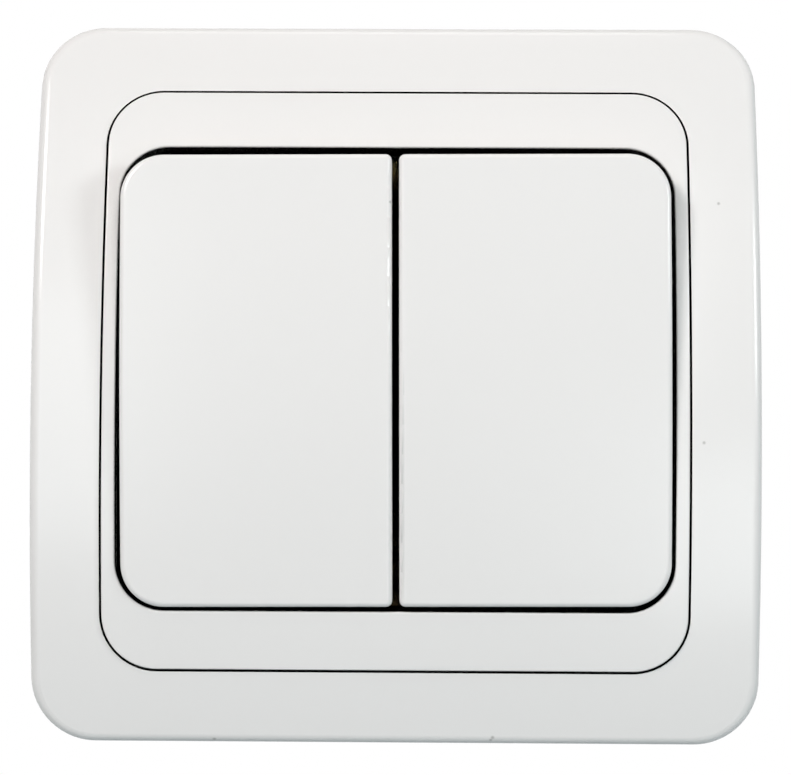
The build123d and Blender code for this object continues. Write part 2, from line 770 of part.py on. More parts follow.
terminal_screw_length = terminal_size / 2 - wire_radius - screw_gap
terminal_screw = slotted_screw(
    terminal_screw_head_radius, terminal_screw_head, terminal_screw_radius, terminal_screw_length
)
with BuildPart() as terminal_screws:
    for x, z in terminal_places:
        turn = Rot(0, 0, 0) if z > 0 else Rot(180, 0, 0)
        with Locations(Pos(x, -terminal_screw_height, z + copysign(terminal_size / 2, z)) * turn):
            add(terminal_screw)
terminal_screws.part.label = "terminal_screws"
export_step(terminal_screws.part, "parts/terminal_screws.step")

with BuildPart() as countersunk_screw:
    with BuildSketch(Plane.XZ):
        with BuildLine():
            Polyline(
                (0, 0),
                (insert_screw_head_radius, 0),
                (screw_radius, screw_radius - insert_screw_head_radius),
                (screw_radius, -insert_screw_length),
                (0, -insert_screw_length),
                close=True,
            )
        make_face()
    revolve(axis=Axis.Z)
    with BuildSketch(Plane.XY):
        Rectangle(2 * insert_screw_head_radius, screw_slot_width)
    extrude(amount=-screw_slot_depth, mode=Mode.SUBTRACT)
with BuildPart() as insert_screws:
    with Locations(room.offset(floor_front)):
        with Locations(*insert_screw_places):
            add(countersunk_screw.part)
insert_screws.part.label = "insert_screws"
export_step(insert_screws.part, "parts/insert_screws.step")
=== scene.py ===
import math
from functools import partial

import bpy
from bpy.props import FloatProperty, FloatVectorProperty, IntProperty, PointerProperty
from bpy.types import Operator, Panel, PropertyGroup
from mathutils import Matrix, Vector


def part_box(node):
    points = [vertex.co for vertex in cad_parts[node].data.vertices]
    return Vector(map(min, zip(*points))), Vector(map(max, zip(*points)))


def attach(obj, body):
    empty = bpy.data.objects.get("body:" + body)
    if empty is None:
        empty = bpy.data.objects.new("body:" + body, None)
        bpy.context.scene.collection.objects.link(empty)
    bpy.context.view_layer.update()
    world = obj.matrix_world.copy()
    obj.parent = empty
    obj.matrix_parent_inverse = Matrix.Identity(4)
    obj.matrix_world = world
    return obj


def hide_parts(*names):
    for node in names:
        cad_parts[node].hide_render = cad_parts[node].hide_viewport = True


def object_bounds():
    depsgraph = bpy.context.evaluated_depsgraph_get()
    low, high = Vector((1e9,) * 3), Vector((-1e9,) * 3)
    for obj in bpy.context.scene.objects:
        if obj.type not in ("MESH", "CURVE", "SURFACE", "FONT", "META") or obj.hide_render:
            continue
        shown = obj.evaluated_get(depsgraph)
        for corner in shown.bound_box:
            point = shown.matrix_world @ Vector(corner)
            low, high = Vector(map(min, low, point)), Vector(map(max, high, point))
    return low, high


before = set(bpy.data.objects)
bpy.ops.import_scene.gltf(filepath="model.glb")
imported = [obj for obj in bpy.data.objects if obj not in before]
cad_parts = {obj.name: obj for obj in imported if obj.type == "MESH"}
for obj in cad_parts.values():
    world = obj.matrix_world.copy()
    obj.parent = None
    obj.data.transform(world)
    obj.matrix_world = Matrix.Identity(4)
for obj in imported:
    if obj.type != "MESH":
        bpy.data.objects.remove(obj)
cad_box = [list(corner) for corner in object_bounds()]

bl_info = {
    "name": "Two-gang rocker switch",
    "version": (1, 0, 0),
    "blender": (4, 5, 0),
    "location": "View3D > Sidebar > Switch",
    "description": "Finishes, screws and studio for a flush two-gang rocker switch",
    "category": "Object",
}

# Open share of a point's surroundings at which painted shade makes it black, and at which it keeps its own
# look
COVER_SHADE_SHARES = (0.27, 0.55)
WORKS_SHADE_SHARES = (0.26, 0.55)
# Share of the sum of two distances that cuts the corners of a square
CORNER_CUT = 0.535
# Likeness of the rounded and the true normal at which the paler band along an edge begins, and at which it is
# full; on metal it is wear, on the dark mouldings a painted highlight
EDGE_WEAR_AND_HIGHLIGHT = (0.995, 0.93)
# How far from the middle of a press the smears on a key are full, and where they end
PRESS_REACH = (0.004, 0.018)

# Where each part of a screw's profile ends, from the middle of the head's top to the middle of the tip
HEAD_TOP, HEAD_ROUND, HEAD_SIDE, HEAD_UNDER = 0.05, 0.09, 0.11, 0.13
THREAD_START, THREAD_FULL, THREAD_FADE, SHANK_END, TIP_END = 0.14, 0.17, 0.94, 0.97, 0.99
# Rounded share of a head's height, how far that goes in, and the tip's chamfer as a share of the shank
HEAD_ROUNDING, ROUNDING_INSET, TIP_CHAMFER = 0.35, 0.6, 0.35
# Rows of faces along every screw, and the rows that each turn of its thread adds
BASE_ROWS, ROWS_PER_TURN = 40, 7
# Slope of the thread's flanks, and the bend in radians from which an edge stays sharp
THREAD_STEEPNESS, SHARP_ANGLE = 2.4, 0.6
# How near, in metres, points along the seam of a screw are joined
SEAM_REACH = 1e-6

# Bearing and rise in degrees, distance, width and height in metres, and tint of each lamp
LAMPS = {
    "main": (-35.0, 25.0, 0.6, 0.15, 0.15, "warm"),
    "top": (0.0, 62.0, 0.9, 0.3, 0.4, "warm"),
    "front": (-20.0, -1.0, 0.3, 0.08, 0.17, "cool"),
    "right": (53.0, 12.0, 0.4, 0.1, 0.1, "cool"),
    "low": (22.0, -15.0, 0.3, 0.1, 0.1, "cool"),
}
# How far back a direction points where the soft light behind the switch begins and is full
SOFT_BEGINS, SOFT_FULL = -0.05, 0.5


def length(name, default, description):
    """A size in metres that a user may change."""
    return FloatProperty(
        name=name, default=default, description=description, min=0.0, precision=5, unit="LENGTH"
    )


def share(name, default, description):
    """A factor from none to all."""
    return FloatProperty(
        name=name, default=default, description=description, min=0.0, max=1.0, subtype="FACTOR"
    )


def colour(name, default, description):
    """A colour in linear light."""
    return FloatVectorProperty(
        name=name, default=default, description=description, min=0.0, max=1.0, size=3, subtype="COLOR"
    )


def power(name, default, description):
    """The strength of a lamp."""
    return FloatProperty(
        name=name, default=default, description=description, min=0.0, precision=4, unit="POWER"
    )


class SwitchFinishes(PropertyGroup):
    """Colours and surface qualities of the switch."""

    cover_white: colour("Cover white", (0.842, 0.823, 0.806), "Pigment of frame, insert and keys")
    mark_grey: colour("Mark grey", (0.3, 0.29, 0.27), "Specks and nicks in the covers")
    cover_roughness: share("Cover roughness", 0.2, "How far the covers are from a mirror")
    # Painted shade: how far around a point walls count towards its shade, and how far past the insert the
    # joint's painted shade may reach
    shade_reach: length("Hollow reach", 0.03, "How near the walls of a dark joint or hollow stand")
    joint_shade_margin: length("Joint margin", 0.0007, "How far past the insert its joint may be dark")
    key_tilt: FloatProperty(
        name="Key tilt", default=math.radians(4.0), subtype="ANGLE", description="Lean of the keys at rest"
    )
    # Painted shade: how far under the insert's face a key's walls begin to turn black
    rim_shade_margin: length("Rim margin", 0.0002, "How far under the insert's face a key's walls may turn dark")
    rim_slope: share("Rim slope", 0.155, "How fast that depth grows towards the ends of a key")
    base_black: colour("Base black", (0.022, 0.022, 0.024), "Moulded switch base")
    tumbler_grey: colour("Tumbler grey", (0.06, 0.06, 0.064), "Moulded tumblers")
    plunger_cream: colour("Plunger cream", (0.66, 0.62, 0.5), "Natural polymer of the plungers")
    zinc: colour("Zinc", (0.6, 0.63, 0.66), "Clear zinc plating")
    yellow_zinc: colour("Yellow zinc", (0.66, 0.5, 0.2), "Yellow passivated zinc plating")
    bright_steel: colour("Bright steel", (0.62, 0.62, 0.63), "Axle and springs")
    brass: colour("Brass", (0.72, 0.52, 0.23), "Terminals and contact arms")
    silver: colour("Silver", (0.82, 0.81, 0.78), "Contact tips")


class SwitchScrews(PropertyGroup):
    """Thread and slot shared by the screws, with the measures of each kind."""

    pitch: length("Thread pitch", 0.0005, "Rise of the thread in one turn")
    thread_depth: length("Thread depth", 0.00027, "Depth of the thread below its crest")
    slot_width: length("Slot width", 0.0008, "Width of the driver slot")
    slot_depth: length("Slot depth", 0.0006, "Depth of the driver slot")
    shank: length("Shank radius", 0.0015, "Radius of the claw and insert screws")
    base_shank: length("Base screw radius", 0.0013, "Radius of the base screws")
    terminal_shank: length("Terminal screw radius", 0.00125, "Radius of the terminal screws")
    seat: length("Seat", 0.0012, "How far the seat of the heads on the plate lies in front of the wall")
    base_head: length("Base screw head", 0.0024, "Radius of the base screws' heads")
    terminal_head: length("Terminal screw head", 0.0023, "Radius of the terminal screws' heads")
    terminal_cap: length("Terminal screw cap", 0.0015, "Height of the terminal screws' heads")
    terminal_reach: length("Terminal screw reach", 0.00145, "Length of the terminal screws under the head")
    segments: IntProperty(name="Segments", default=28, min=8, max=96, description="Faces around a screw")
    seed: IntProperty(name="Seed", default=7, min=0, description="Seed for the turn of each slot")


class SwitchStage(PropertyGroup):
    """Camera, lamps and floor."""

    camera_place: FloatVectorProperty(
        name="Camera place", default=(0.00272, -0.2623, -0.0211), size=3, subtype="XYZ", unit="LENGTH",
        precision=5, description="Where the camera stands",
    )
    camera_turn: FloatVectorProperty(
        name="Camera turn", default=(0.0785, -0.006, 0.0108), size=3, subtype="EULER", unit="ROTATION",
        precision=5, description="Pitch, roll and yaw from looking straight at the wall",
    )
    focal_length: FloatProperty(
        name="Focal length", default=103.35, min=10.0, unit="CAMERA", description="Lens for a 36 mm sensor"
    )
    floor_drop: length("Floor drop", 0.2, "How far the floor lies under the switch")
    floor_size: length("Floor size", 2.4, "Width of the floor")
    floor_colour: colour("Floor colour", (0.9, 0.9, 0.9), "Pale floor as the eye meets it")
    floor_bounce: colour("Floor bounce", (0.3, 0.36, 0.38), "What the floor throws back on to the switch")
    floor_glow: colour("Floor glow", (0.38, 0.38, 0.38), "Pale surround that the floor shows to the eye")
    front_level: FloatProperty(name="Front level", default=0.0, min=0.0, description="Soft light in front")
    back_level: FloatProperty(name="Back level", default=0.65, min=0.0, description="Soft light behind")
    warm_tint: colour("Warm tint", (0.985, 0.95, 0.94), "Light from above")
    cool_tint: colour("Cool tint", (0.93, 0.985, 1.0), "Light from elsewhere")
    main_power: power("Main lamp", 2.07, "Soft box high on the left, for the shadow right of the keys")
    top_power: power("Top lamp", 1.16, "Large soft box overhead")
    front_power: power("Front lamp", 0.104, "Upright soft box in front, a little to the left")
    right_power: power("Right lamp", 0.55, "Small soft box on the right, for the shadow left of the keys")
    low_power: power("Low lamp", 0.108, "Small soft box low on the right")


class Term:
    """One socket of a node tree, with Python arithmetic that adds Math nodes."""

    def __init__(self, tree, socket):
        self.tree = tree
        self.socket = socket

    def out(self, name):
        """Another output of the same node."""
        return Term(self.tree, self.socket.node.outputs[name])

    def math(self, operation, *others):
        """A Math node with this socket as its first value."""
        return self.tree.math(operation, self, *others)

    def __add__(self, other):
        return self.math("ADD", other)

    def __sub__(self, other):
        return self.math("SUBTRACT", other)

    def __rsub__(self, other):
        return self.tree.math("SUBTRACT", other, self)

    def __mul__(self, other):
        return self.math("MULTIPLY", other)

    def __truediv__(self, other):
        return self.math("DIVIDE", other)

    def __rtruediv__(self, other):
        return self.tree.math("DIVIDE", other, self)

    def __gt__(self, other):
        return self.math("GREATER_THAN", other)

    def __lt__(self, other):
        return self.math("LESS_THAN", other)

    __radd__ = __add__
    __rmul__ = __mul__


class Tree:
    """A node tree that is written as expressions."""

    def __init__(self, graph):
        self.graph = graph

    def node(self, kind, settings=None, sockets=None, output=0):
        """Adds a node, with its settings first and then the values or links of its sockets.

        Gives one of the node's outputs, or nothing for the node that closes a tree.
        """
        made = self.graph.nodes.new(kind)
        for key, value in (settings or {}).items():
            setattr(made, key, value)
        for key, value in (sockets or {}).items():
            if isinstance(value, Term):
                self.graph.links.new(value.socket, made.inputs[key])
            else:
                made.inputs[key].default_value = value
        return Term(self, made.outputs[output]) if made.outputs else None

    def math(self, operation, *values):
        """A Math node on terms and numbers."""
        return self.node("ShaderNodeMath", {"operation": operation}, dict(enumerate(values)))

    def ramp(self, value, low, high, start=0.0, end=1.0):
        """A value that runs from start to end while another goes from low to high."""
        return self.node(
            "ShaderNodeMapRange",
            None,
            {"Value": value, "From Min": low, "From Max": high, "To Min": start, "To Max": end},
        )

    def seen(self):
        """One for the rays of the camera, of mirrors and of glass, none for light that falls on a surface."""
        ray = self.node("ShaderNodeLightPath", output="Is Camera Ray")
        total = ray + ray.out("Is Glossy Ray") + ray.out("Is Transmission Ray")
        return total.math("MINIMUM", 1.0)


class Finish(Tree):
    """A material with one Principled shader, patterned on object coordinates, and a black one mixed in where
    shade is painted.
    """

    def __init__(self, name, constants=None):
        self.material = bpy.data.materials.new(name)
        self.material.use_nodes = True
        super().__init__(self.material.node_tree)
        self.graph.nodes.clear()
        self.place = self.node("ShaderNodeTexCoord", output="Object")
        self.look = dict(constants or {})
        self.painted_shade = None

    def feed(self, socket, term):
        """Keeps what a socket of the shader gets from the pattern."""
        self.look[socket] = term

    def done(self):
        """Adds the shader, mixed with black where shade is painted, and closes the tree."""
        surface = self.node("ShaderNodeBsdfPrincipled", None, self.look)
        if self.painted_shade is not None:
            # Black without shine for the painted shade
            black = {"Base Color": (0.002, 0.002, 0.002, 1.0), "Roughness": 1.0, "Specular IOR Level": 0.0}
            depth = self.node("ShaderNodeBsdfPrincipled", None, black)
            surface = self.node("ShaderNodeMixShader", None, {0: self.painted_shade, 1: surface, 2: depth})
        self.node("ShaderNodeOutputMaterial", None, {"Surface": surface})
        return self.material

    def stretch(self, scale):
        """Object coordinates drawn out along an axis."""
        return self.node("ShaderNodeMapping", None, {"Vector": self.place, "Scale": scale})

    def noise(self, scale, seed, detail=2.0, where=None):
        return self.node(
            "ShaderNodeTexNoise",
            {"noise_dimensions": "4D"},
            {"Vector": where or self.place, "W": seed, "Scale": scale, "Detail": detail},
        )

    def mix(self, factor, first, second):
        """A colour between two others; each is a term or three numbers."""
        first, second = (c if isinstance(c, Term) else (*c, 1.0) for c in (first, second))
        # Inputs 6 and 7 and output 2 of a Mix node are its colours
        return self.node("ShaderNodeMix", {"data_type": "RGBA"}, {0: factor, 6: first, 7: second}, 2)

    def near(self, place, inner, outer):
        """One within the inner distance of a place, none beyond the outer."""
        sockets = {0: self.place, 1: place}
        away = self.node("ShaderNodeVectorMath", {"operation": "DISTANCE"}, sockets, "Value")
        return self.ramp(away, inner, outer, 1.0, 0.0)

    def axes(self):
        """The distances from the origin along X and Z, without a sign."""
        spread = self.node("ShaderNodeSeparateXYZ", None, {0: self.place})
        return [spread.out(axis).math("ABSOLUTE") for axis in "XZ"]

    def about_middle(self, reach):
        """One in a square with cut corners about the middle of the face."""
        across, along = self.axes()
        square = across.math("MAXIMUM", along)
        return square.math("MAXIMUM", (across + along) * CORNER_CUT) < reach

    def under_rim(self, inward, level, slope):
        """One on the walls of a key that stay below the rim of its opening in both states."""
        sockets = {0: self.place, 1: inward}
        depth = self.node("ShaderNodeVectorMath", {"operation": "DOT_PRODUCT"}, sockets, "Value")
        _, along = self.axes()
        return depth - along * slope > level

    def paint_shade(self, dark, clear, where=None):
        """Paints shade: a hemmed-in surface, deep inside or in a narrow joint, falls to a black without
        shine.
        """
        reach = bpy.context.scene.switch_finishes.shade_reach
        open_share = self.node("ShaderNodeAmbientOcclusion", {"samples": 4}, {"Distance": reach}, "AO")
        self.painted_shade = self.ramp(open_share, dark, clear, 1.0, 0.0)
        if where is not None:
            self.painted_shade = self.painted_shade * where

    def edge(self, radius):
        """The rounded normal of a sharp edge, and a mask that is one along it."""
        rounded = self.node("ShaderNodeBevel", {"samples": 4}, {"Radius": radius})
        flat = self.node("ShaderNodeNewGeometry", output="Normal")
        sockets = {0: rounded, 1: flat}
        same = self.node("ShaderNodeVectorMath", {"operation": "DOT_PRODUCT"}, sockets, "Value")
        return rounded, self.ramp(same, *EDGE_WEAR_AND_HIGHLIGHT)

    def bump(self, height, distance, normal=None):
        """Fine relief, as deep as a distance in metres and laid on a normal where one is given."""
        sockets = {"Strength": 1.0, "Distance": distance, "Height": height}
        if normal is not None:
            sockets["Normal"] = normal
        self.feed("Normal", self.node("ShaderNodeBump", None, sockets))


def scaled(tone, factor):
    """A colour made darker or lighter."""
    return tuple(min(1.0, channel * factor) for channel in tone)


def cover_white(name, seed, marks=(), touch=None, dark=None):
    """Glossy white moulding with clouded pigment, faint smears and painted shade that turns its joints black.

    Marks are small specks and nicks, each a place and a radius. Touch is where a finger presses, and dark
    gives the mask of the surface that painted shade may turn black.
    """
    look = bpy.context.scene.switch_finishes
    white = look.cover_white
    finish = Finish(name, {"IOR": 1.49})
    cloud = finish.noise(35.0, seed, 3.0)
    tone = finish.mix(cloud, scaled(white, 0.985), scaled(white, 1.015))
    smear = finish.noise(90.0, seed + 3.0, 4.0, finish.stretch((1.0, 1.0, 0.35)))
    rough = look.cover_roughness + 0.05 * smear
    for place, radius in marks:
        mark = finish.near(place, radius * 0.3, radius)
        tone = finish.mix(mark * 0.6, tone, look.mark_grey)
        rough = rough + 0.3 * mark
    finish.feed("Base Color", tone)
    # Painted shade: hemmed-in walls, within the mask where one is given, turn black
    finish.paint_shade(*COVER_SHADE_SHARES, dark and dark(finish))
    if touch:
        rough = rough + 0.06 * smear * finish.near(touch, *PRESS_REACH)
    finish.feed("Roughness", rough)
    peel = 0.3 * finish.noise(620.0, seed + 5.0, 1.0) + 6.0 * finish.noise(45.0, seed + 6.0, 0.0)
    finish.bump(peel, 0.000006)
    return finish.done()


def moulded_dark(name, tone, seed):
    """Satin dark moulding with an eroded texture, a painted highlight along its edges, dusty in places and
    with painted shade in hollows.
    """
    finish = Finish(name, {"IOR": 1.5})
    rounded, edge = finish.edge(0.00025)
    cloud = finish.noise(60.0, seed, 3.0)
    body = finish.mix(cloud, scaled(tone, 0.8), scaled(tone, 1.25))
    dust = finish.ramp(finish.noise(240.0, seed + 2.0, 5.0), 0.58, 0.78)
    body = finish.mix(dust * 0.35, body, scaled(tone, 3.0))
    # Painted highlight: the edges are paler
    finish.feed("Base Color", finish.mix(edge * 0.6, body, scaled(tone, 2.4)))
    # Painted shade: black in hollows
    finish.paint_shade(*WORKS_SHADE_SHARES)
    finish.feed("Roughness", 0.42 + 0.12 * cloud + 0.18 * dust - 0.1 * edge)
    grain = finish.noise(4200.0, seed + 4.0, 2.0)
    finish.bump(grain, 0.00001, rounded)
    return finish.done()


def natural_polymer(name, tone):
    """Unpigmented polymer, faintly waxy, with painted shade in hollows."""
    finish = Finish(name, {"IOR": 1.48})
    cloud = finish.noise(700.0, 3.0, 3.0)
    finish.feed("Base Color", finish.mix(cloud, scaled(tone, 0.93), scaled(tone, 1.05)))
    # Painted shade: black in hollows
    finish.paint_shade(*WORKS_SHADE_SHARES)
    finish.feed("Roughness", 0.34 + 0.12 * cloud)
    finish.bump(finish.noise(3000.0, 4.0), 0.000006)
    return finish.done()


def plated_steel(name, tone, seed, tints=(), hollow=True):
    """Plated steel: fine spangle, rolling lines, dull stains and bright sheared edges, with painted shade in
    hollows.
    """
    finish = Finish(name, {"Metallic": 1.0})
    rounded, edge = finish.edge(0.00018)
    sockets = {"Vector": finish.place, "Scale": 900.0}
    spangle = finish.node("ShaderNodeTexVoronoi", None, sockets, "Color")
    facet = finish.node("ShaderNodeSeparateColor", None, {0: spangle})
    body = finish.mix(facet, scaled(tone, 0.9), scaled(tone, 1.06))
    for index, tint in enumerate(tints):
        patch = finish.ramp(finish.noise(330.0, seed + 11.0 + index, 3.0), 0.46, 0.66)
        body = finish.mix(patch * 0.75, body, tint)
    stain = finish.ramp(finish.noise(75.0, seed, 5.0), 0.54, 0.72)
    body = finish.mix(stain * 0.45, body, scaled(tone, 0.55))
    finish.feed("Base Color", finish.mix(edge * 0.5, body, scaled(tone, 1.3)))
    # Painted shade: black in hollows
    if hollow:
        finish.paint_shade(*WORKS_SHADE_SHARES)
    lines = finish.noise(1.0, seed + 2.0, 3.0, finish.stretch((9000.0, 9000.0, 160.0)))
    finish.feed("Roughness", 0.27 + 0.1 * facet + 0.16 * stain + 0.08 * lines - 0.06 * edge)
    finish.bump(lines, 0.000004, rounded)
    return finish.done()


def drawn_metal(name, tone, seed, dull, tarnish):
    """Bare metal with draw lines and patches of tarnish, with painted shade in hollows."""
    finish = Finish(name, {"Metallic": 1.0})
    rounded, edge = finish.edge(0.00012)
    patch = finish.ramp(finish.noise(160.0, seed, 5.0), 0.5, 0.74)
    body = finish.mix(patch * tarnish, tone, scaled(tone, 0.42))
    finish.feed("Base Color", finish.mix(edge * 0.4, body, scaled(tone, 1.25)))
    # Painted shade: black in hollows
    finish.paint_shade(*WORKS_SHADE_SHARES)
    lines = finish.noise(1.0, seed + 1.0, 3.0, finish.stretch((300.0, 9000.0, 9000.0)))
    finish.feed("Roughness", dull + 0.12 * lines + 0.2 * patch)
    finish.bump(lines, 0.000004, rounded)
    return finish.done()


def dress(material, *names):
    """Gives solids of the frame a finish."""
    for name in names:
        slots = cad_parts[name].data.materials
        slots.clear()
        slots.append(material)


def screw_tree():
    """A slotted screw with a real thread, set on every point of a mesh along the point's own axis."""
    group = bpy.data.node_groups.new("slotted_screw", "GeometryNodeTree")
    face = group.interface
    face.new_socket("Geometry", in_out="OUTPUT", socket_type="NodeSocketGeometry")
    face.new_socket("Geometry", in_out="INPUT", socket_type="NodeSocketGeometry")
    measures = ("Head radius", "Head height", "Cone depth", "Shank radius", "Length", "Pitch")
    for name in (*measures, "Thread depth", "Slot width", "Slot depth"):
        face.new_socket(name, in_out="INPUT", socket_type="NodeSocketFloat")
    for name in ("Segments", "Rows", "Seed"):
        face.new_socket(name, in_out="INPUT", socket_type="NodeSocketInt")
    face.new_socket("Material", in_out="INPUT", socket_type="NodeSocketMaterial")
    tree = Tree(group)
    entry = tree.node("NodeGroupInput").socket.node
    size = {socket.name: Term(tree, socket) for socket in entry.outputs if socket.name}

    # A sheet is wrapped into a turned profile: down the head, under it, down the thread and round the tip
    counts = {"Vertices X": size["Segments"] + 1, "Vertices Y": size["Rows"]}
    sheet = tree.node("GeometryNodeMeshGrid", None, {"Size X": 1.0, "Size Y": 1.0, **counts})
    spread = tree.node("ShaderNodeSeparateXYZ", None, {0: tree.node("GeometryNodeInputPosition")})
    around, along = spread.out("X") + 0.5, spread.out("Y") + 0.5
    head, shank, rounding = size["Head radius"], size["Shank radius"], size["Head height"] * HEAD_ROUNDING
    inset, tip = rounding * ROUNDING_INSET, shank * TIP_CHAMFER
    height = (
        size["Head height"]
        - tree.ramp(along, HEAD_TOP, HEAD_ROUND, 0.0, rounding)
        - tree.ramp(along, HEAD_ROUND, HEAD_SIDE, 0.0, size["Head height"] - rounding)
        - tree.ramp(along, HEAD_SIDE, HEAD_UNDER, 0.0, size["Cone depth"])
        - tree.ramp(along, HEAD_UNDER, SHANK_END, 0.0, size["Length"] - size["Cone depth"] - tip)
        - tree.ramp(along, SHANK_END, TIP_END, 0.0, tip)
    )
    turn = height / size["Pitch"] + around
    off = turn.math("FRACT") - 0.5
    ridge = off.math("ABSOLUTE") * THREAD_STEEPNESS
    groove = ridge.math("MINIMUM", 1.0) * size["Thread depth"]
    thread = tree.ramp(along, THREAD_START, THREAD_FULL) * tree.ramp(along, THREAD_FADE, SHANK_END, 1.0, 0.0)
    radius = (
        tree.ramp(along, 0.0, HEAD_TOP, 0.0, head - inset)
        + tree.ramp(along, HEAD_TOP, HEAD_ROUND, 0.0, inset)
        - tree.ramp(along, HEAD_SIDE, HEAD_UNDER, 0.0, head - shank)
        - groove * thread
        - tree.ramp(along, SHANK_END, TIP_END, 0.0, tip)
        - tree.ramp(along, TIP_END, 1.0, 0.0, shank - tip)
    )
    angle = around * (-2.0 * math.pi)
    bent = {"X": radius * angle.math("COSINE"), "Y": radius * angle.math("SINE"), "Z": height}
    wrapped = tree.node("ShaderNodeCombineXYZ", None, bent)
    body = tree.node("GeometryNodeSetPosition", None, {"Geometry": sheet, "Position": wrapped})
    body = tree.node("GeometryNodeMergeByDistance", None, {"Geometry": body, "Distance": SEAM_REACH})

    # The driver slot
    bar = {"X": head * 3.0, "Y": size["Slot width"], "Z": size["Slot depth"] * 2.0}
    cutter = tree.node("GeometryNodeMeshCube", None, {"Size": tree.node("ShaderNodeCombineXYZ", None, bar)})
    lift = tree.node("ShaderNodeCombineXYZ", None, {"Z": size["Head height"]})
    cutter = tree.node("GeometryNodeTransform", None, {"Geometry": cutter, "Translation": lift})
    cut = {"operation": "DIFFERENCE", "solver": "EXACT"}
    body = tree.node("GeometryNodeMeshBoolean", cut, {"Mesh 1": body, "Mesh 2": cutter})
    smooth = {"Geometry": body, "Shade Smooth": True}
    body = tree.node("GeometryNodeSetShadeSmooth", {"domain": "FACE"}, smooth)
    bend = tree.node("GeometryNodeInputMeshEdgeAngle", None, None, "Unsigned Angle")
    sharp = {"Geometry": body, "Selection": bend > SHARP_ANGLE, "Shade Smooth": False}
    body = tree.node("GeometryNodeSetShadeSmooth", {"domain": "EDGE"}, sharp)

    # One screw for each point, its slot turned by chance
    axis = tree.node("GeometryNodeInputNamedAttribute", {"data_type": "FLOAT_VECTOR"}, {"Name": "axis"})
    stand = tree.node("FunctionNodeAlignRotationToVector", {"axis": "Z"}, {"Vector": axis})
    # Inputs 2 and 3 and output 1 of a Random Value node are its plain numbers
    half_turn = {2: 0.0, 3: math.pi, "Seed": size["Seed"]}
    chance = tree.node("FunctionNodeRandomValue", {"data_type": "FLOAT"}, half_turn, 1)
    twist = tree.node("FunctionNodeAxisAngleToRotation", None, {"Axis": (0.0, 0.0, 1.0), "Angle": chance})
    turned = {"Rotation": stand, "Rotate By": twist}
    stand = tree.node("FunctionNodeRotateRotation", {"rotation_space": "LOCAL"}, turned)
    placed = {"Points": size["Geometry"], "Instance": body, "Rotation": stand}
    screws = tree.node("GeometryNodeInstanceOnPoints", None, placed)
    screws = tree.node("GeometryNodeRealizeInstances", None, {"Geometry": screws})
    coated = {"Geometry": screws, "Material": size["Material"]}
    screws = tree.node("GeometryNodeSetMaterial", None, coated)
    tree.node("NodeGroupOutput", None, {"Geometry": screws})
    return group


def screw_sizes(head, height, cone, shank, reach):
    """The measures of one kind of screw under the names that the node group gives them."""
    return {
        "Head radius": head,
        "Head height": height,
        "Cone depth": cone,
        "Shank radius": shank,
        "Length": reach,
    }


def set_screws(node, group, seats, sizes, material):
    """Puts threaded screws where a node has plain ones; seats are (place, direction of the head)."""
    screws = bpy.context.scene.switch_screws
    points = bpy.data.meshes.new(node)
    points.from_pydata([place for place, _ in seats], [], [])
    axes = points.attributes.new("axis", "FLOAT_VECTOR", "POINT")
    for index, (_, direction) in enumerate(seats):
        axes.data[index].vector = direction
    piece = bpy.data.objects.new(node + "_threaded", points)
    bpy.context.scene.collection.objects.link(piece)
    modifier = piece.modifiers.new("screws", "NODES")
    modifier.node_group = group
    values = {
        "Pitch": screws.pitch,
        "Thread depth": screws.thread_depth,
        "Slot width": screws.slot_width,
        "Slot depth": screws.slot_depth,
        "Segments": screws.segments,
        "Seed": screws.seed,
        "Rows": BASE_ROWS + int(sizes["Length"] / screws.pitch * ROWS_PER_TURN),
        "Material": material,
        **sizes,
    }
    for socket in group.interface.items_tree:
        if socket.in_out == "INPUT" and socket.name in values:
            modifier[socket.identifier] = values[socket.name]
    bpy.context.view_layer.update()
    shaped = piece.evaluated_get(bpy.context.evaluated_depsgraph_get())
    solid = bpy.data.meshes.new_from_object(shaped)
    if not solid.polygons:
        raise RuntimeError(f"no screws were made for {node}")
    piece.modifiers.clear()
    piece.data = solid
    solid.name = piece.name
    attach(piece, "switch")
    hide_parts(node)


class SWITCH_OT_cover_frame(Operator):
    """Finish the arched cover frame"""

    bl_idname = "switch.cover_frame"
    bl_label = "Cover frame"

    def execute(self, context):
        # Specks and nicks of the photo: place and radius
        marks = (
            ((0.0363, -0.0082, 0.0199), 0.00026),
            ((0.0344, -0.0093, -0.0072), 0.00026),
            ((0.0111, -0.0040, -0.0403), 0.00030),
            ((0.0109, -0.0038, -0.0406), 0.00026),
            ((-0.0203, -0.0037, -0.0407), 0.00034),
        )
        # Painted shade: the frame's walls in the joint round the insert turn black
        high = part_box("insert")[1]
        joint = max(high.x, high.z) + context.scene.switch_finishes.joint_shade_margin
        dark = partial(Finish.about_middle, reach=joint)
        dress(cover_white("white_frame", 1.7, marks, dark=dark), "cover_frame")
        return {"FINISHED"}


class SWITCH_OT_insert(Operator):
    """Finish the insert around the keys"""

    bl_idname = "switch.insert"
    bl_label = "Insert"

    def execute(self, context):
        # Painted shade: hemmed-in walls of the opening turn black
        dress(cover_white("white_insert", 5.2), "insert")
        return {"FINISHED"}


